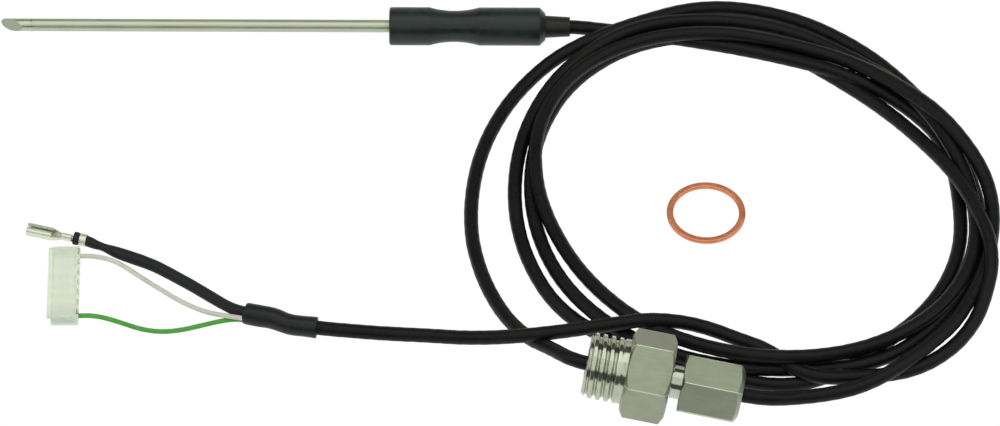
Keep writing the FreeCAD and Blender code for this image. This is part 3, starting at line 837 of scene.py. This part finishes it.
shrink = {
    "diameter": 0.00666,
    "spacing": 0.0004,
    "sides": 48,
    "lumpDepth": 0.00022,
    "lumpScale": 260.0,
    "run": [
        (0.0125, -0.1206, 0.00318),
        (0.0121, -0.12056, 0.00318),
        (0.0112, -0.1204, 0.00318),
        (0.0080, -0.1200, 0.0032),
        (0.0046, -0.1195, 0.0032),
        (0.0026, -0.1188, 0.0033),
        (0.0006, -0.1177, 0.0033),
        (-0.0018, -0.1168, 0.00333),
        (-0.0049, -0.1162, 0.00333),
        (-0.0080, -0.1155, 0.00333),
        (-0.0091, -0.1152, 0.00333),
        (-0.0094, -0.1151, 0.00333),
    ],
    "widths": [0.96, 0.985, 0.965, 0.96, 0.955, 0.95, 0.975, 1.0, 1.01, 1.0, 0.99, 0.93],
}


def shrinkTube():
    tube = layCord("shrinkTube", shrink, finish["shrink"])[0]
    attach(tube, "probe")
    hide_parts("shrink_tube")


shrinkTube()
print("shrink tube laid")


# Gland

gland = {
    "end": (0.0939, -0.14549, 0.016852),
    "turn": -8.36,
    "dip": 7.32,
    "threadRadius": 0.0100,
    "threadLength": 0.0105,
    "threadPitch": 0.0025,
    "threadDepth": 0.0011,
    "threadPhase": 0.73,
    "threadRoot": 0.10,  # flat root and sloping flank, as shares of half a pitch
    "threadFlank": 0.52,
    "threadChamfer": 0.0013,
    "threadStep": 0.000125,
    "runOut": 0.0008,
    "collarRadius": 0.0099,
    "collarStep": 0.0002,
    "hexStart": 0.0122,
    "hexEnd": 0.0258,
    "hexFlats": 0.024,
    "hexBevel": 0.0014,
    "hexCorner": 0.0,
    "edgeRound": 0.0003,
    "grooveEnd": 0.0263,
    "grooveRadius": 0.0043,
    "neckRadius": 0.0051,
    "neckEnd": 0.0309,
    "spigotStart": 0.0317,
    "spigotRadius": 0.0059,
    "spigotEnd": 0.0419,
    "seatRadius": 0.00405,
    "seatStart": 0.0372,
    "seatNose": 0.0028,
    "noseStart": 0.03595,
    "boreRadius": 0.00225,
    "mouthRadius": 0.0045,
    "mouthDepth": 0.0022,
}
nut = {
    "start": 0.02925,
    "end": 0.0475,
    "flats": 0.017,
    "frontBevel": 0.00065,
    "rearBevel": 0.0018,
    "corner": 22.8,
    "edgeRound": 0.00025,
    "threadBore": 0.00605,
    "shoulder": 0.0436,
    "passage": 0.0027,
}
hexShape = {
    "bevelSlope": 30.0,
    "bevelStep": 0.0001,
    "flatStep": 0.003,
    "edgeShares": (0.25, 0.5, 0.75, 0.999, 1.6),  # of the angle that the rounded edge takes
    "flatAngles": (2.5, 4, 7, 11, 15, 19, 23, 27),  # from the edge, over the flat
}
hexSlope = math.tan(math.radians(hexShape["bevelSlope"]))
glandPlace = (
    Matrix.Translation(gland["end"])
    @ Matrix.Rotation(math.radians(gland["turn"]), 4, "Z")
    @ Matrix.Rotation(math.radians(gland["dip"]), 4, "Y")
)


def stepped(start, end, step):
    count = max(1, round((end - start) / step))
    return [start + (end - start) * i / count for i in range(count + 1)]


def ringMesh(name, stations, angles, place, finishes, paintedEdgeHighlight=()):
    # stations follow a closed section round: along, radius or rule, finish, crisp edge
    form = bmesh.new()
    local = form.verts.layers.float_vector.new("local")
    edge = form.verts.layers.float.new("edge")
    rings = []
    for along, radius, _, _ in stations:
        ring = []
        for j, angle in enumerate(angles):
            reach = radius(along, angle) if callable(radius) else radius
            spot = Vector((along, reach * math.sin(angle), reach * math.cos(angle)))
            vertex = form.verts.new(place @ spot)
            vertex[local] = spot
            # vertices on the listed edges are marked for a painted highlight
            vertex[edge] = 1.0 if j in paintedEdgeHighlight else 0.0
            ring.append(vertex)
        rings.append(ring)
    for i, (_, _, part, _) in enumerate(stations):
        ring = rings[i]
        after = rings[(i + 1) % len(rings)]
        for j in range(len(angles)):
            k = (j + 1) % len(angles)
            face = form.faces.new((ring[j], ring[k], after[k], after[j]))
            face.smooth = True
            face.material_index = part
    for (_, _, _, crisp), ring in zip(stations, rings):
        if crisp:
            for j in range(len(angles)):
                form.edges.get((ring[j], ring[(j + 1) % len(angles)])).smooth = False
    bmesh.ops.recalc_face_normals(form, faces=form.faces)
    mesh = bpy.data.meshes.new(name)
    form.to_mesh(mesh)
    form.free()
    for material in finishes:
        mesh.materials.append(material)
    obj = bpy.data.objects.new(name, mesh)
    scene.collection.objects.link(obj)
    print("ring mesh", name, "faces", len(mesh.polygons))
    return obj


def hexForm(flats, edgeRound, corner):
    # reach of a hexagon with rounded edges, the angles that draw it, and those on the edges, which
    # carry a painted highlight
    half = math.radians(30)
    heart = (flats / 2 - edgeRound) / math.cos(half)
    touch = math.atan2(edgeRound * math.sin(half), heart + edgeRound * math.cos(half))
    first = math.radians(corner)

    def reach(angle):
        off = abs((angle - first + half) % (2 * half) - half)
        if off < touch:
            return heart * math.cos(off) + math.sqrt(edgeRound ** 2 - (heart * math.sin(off)) ** 2)
        return flats / 2 / math.cos(half - off)

    near = [touch * share for share in hexShape["edgeShares"]]
    far = [math.radians(off) for off in hexShape["flatAngles"]]
    offsets = sorted([-off for off in near + far] + [0.0] + near + far + [half])
    angles = []
    paintedEdgeHighlight = []
    for i in range(6):
        for off in offsets:
            if abs(off) < touch:
                paintedEdgeHighlight.append(len(angles))
            angles.append(first + 2 * half * i + off)
    return reach, angles, paintedEdgeHighlight


def bevelled(reach, flats, start, end, frontBevel, rearBevel):
    corner = flats / math.sqrt(3)

    def rule(along, angle):
        front = corner - max(0.0, start + frontBevel - along) / hexSlope
        rear = corner - max(0.0, along - end + rearBevel) / hexSlope
        return min(reach(angle), front, rear)

    return rule


def bevelStations(rule, start, end, frontBevel, rearBevel, part):
    spots = stepped(start, start + frontBevel, hexShape["bevelStep"])
    spots += stepped(start + frontBevel, end - rearBevel, hexShape["flatStep"])[1:]
    spots += stepped(end - rearBevel, end, hexShape["bevelStep"])[1:]
    return [(along, rule, part, along in (start, end)) for along in spots]


def threadReach(along, angle):
    # rounded ridges that run out before the collar, under a chamfer at the end
    phase = (along / gland["threadPitch"] + angle / (2 * math.pi) + gland["threadPhase"]) % 1
    rise = (1 - abs(2 * phase - 1) - gland["threadRoot"]) / gland["threadFlank"]
    slope = min(max(rise, 0.0), 1.0)
    ridge = slope * slope * (3 - 2 * slope)
    fade = min(max((gland["threadLength"] - along) / gland["runOut"], 0.0), 1.0)
    cut = gland["threadDepth"] * (1 - ridge) * fade
    chamfer = gland["threadRadius"] - gland["threadChamfer"] + along
    return min(gland["threadRadius"] - cut, chamfer)


def glandBody():
    brushed, polished = 0, 1
    reach, angles, paintedEdgeHighlight = hexForm(gland["hexFlats"], gland["edgeRound"], gland["hexCorner"])
    span = (gland["hexStart"], gland["hexEnd"], gland["hexBevel"], gland["hexBevel"])
    rule = bevelled(reach, gland["hexFlats"], *span)
    stations = [(0.0, gland["mouthRadius"], polished, True)]
    for along in stepped(0.0, gland["threadLength"], gland["threadStep"]):
        stations.append((along, threadReach, polished, along == 0.0))
    stations += [
        (gland["threadLength"] + gland["collarStep"], gland["collarRadius"], polished, False),
        (gland["hexStart"], gland["collarRadius"], brushed, True),
    ]
    stations += bevelStations(rule, *span, brushed)
    stations += [
        (gland["hexEnd"], gland["grooveRadius"], polished, True),
        (gland["grooveEnd"], gland["grooveRadius"], polished, True),
        (gland["grooveEnd"], gland["neckRadius"], polished, True),
        (gland["neckEnd"], gland["neckRadius"], polished, True),
        (gland["spigotStart"], gland["spigotRadius"], polished, True),
        (gland["spigotEnd"], gland["spigotRadius"], polished, True),
        (gland["spigotEnd"], gland["seatRadius"], polished, True),
        (gland["seatStart"], gland["seatRadius"], polished, True),
        (gland["noseStart"], gland["seatNose"], polished, True),
        (gland["noseStart"], gland["boreRadius"], polished, True),
        (gland["mouthDepth"], gland["boreRadius"], polished, True),
    ]
    finishes = [finish["brushed"], finish["polished"]]
    body = ringMesh("glandBody", stations, angles, glandPlace, finishes, paintedEdgeHighlight)
    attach(body, "probe")
    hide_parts("gland_body")


def glandNut():
    reach, angles, paintedEdgeHighlight = hexForm(nut["flats"], nut["edgeRound"], nut["corner"])
    span = (nut["start"], nut["end"], nut["frontBevel"], nut["rearBevel"])
    rule = bevelled(reach, nut["flats"], *span)
    stations = [(nut["start"], nut["threadBore"], 0, True)]
    stations += bevelStations(rule, *span, 0)
    stations += [
        (nut["end"], nut["passage"], 0, True),
        (nut["shoulder"], nut["passage"], 0, True),
        (nut["shoulder"], nut["threadBore"], 0, True),
    ]
    piece = ringMesh("glandNut", stations, angles, glandPlace, [finish["brushed"]], paintedEdgeHighlight)
    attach(piece, "nut")
    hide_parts("gland_nut")


glandBody()
glandNut()
print("gland made")


# Weld ring at the needle's point

weld = {
    "place": (-0.07965, 0.0, 0.006),
    "radius": 0.00196,
    "bead": 0.00014,
    "beadStretch": 2,
    "beadSides": 10,
    "around": 72,
}


def weldRing():
    stations = []
    for i in range(weld["beadSides"]):
        turn = 2 * math.pi * i / weld["beadSides"]
        along = weld["bead"] * weld["beadStretch"] * math.cos(turn)
        stations.append((along, weld["radius"] + weld["bead"] * math.sin(turn), 0, False))
    angles = [2 * math.pi * i / weld["around"] for i in range(weld["around"])]
    place = Matrix.Translation(weld["place"])
    ring = ringMesh("weldRing", stations, angles, place, [finish["polished"]])
    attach(ring, "probe")


weldRing()
print("weld ring made")
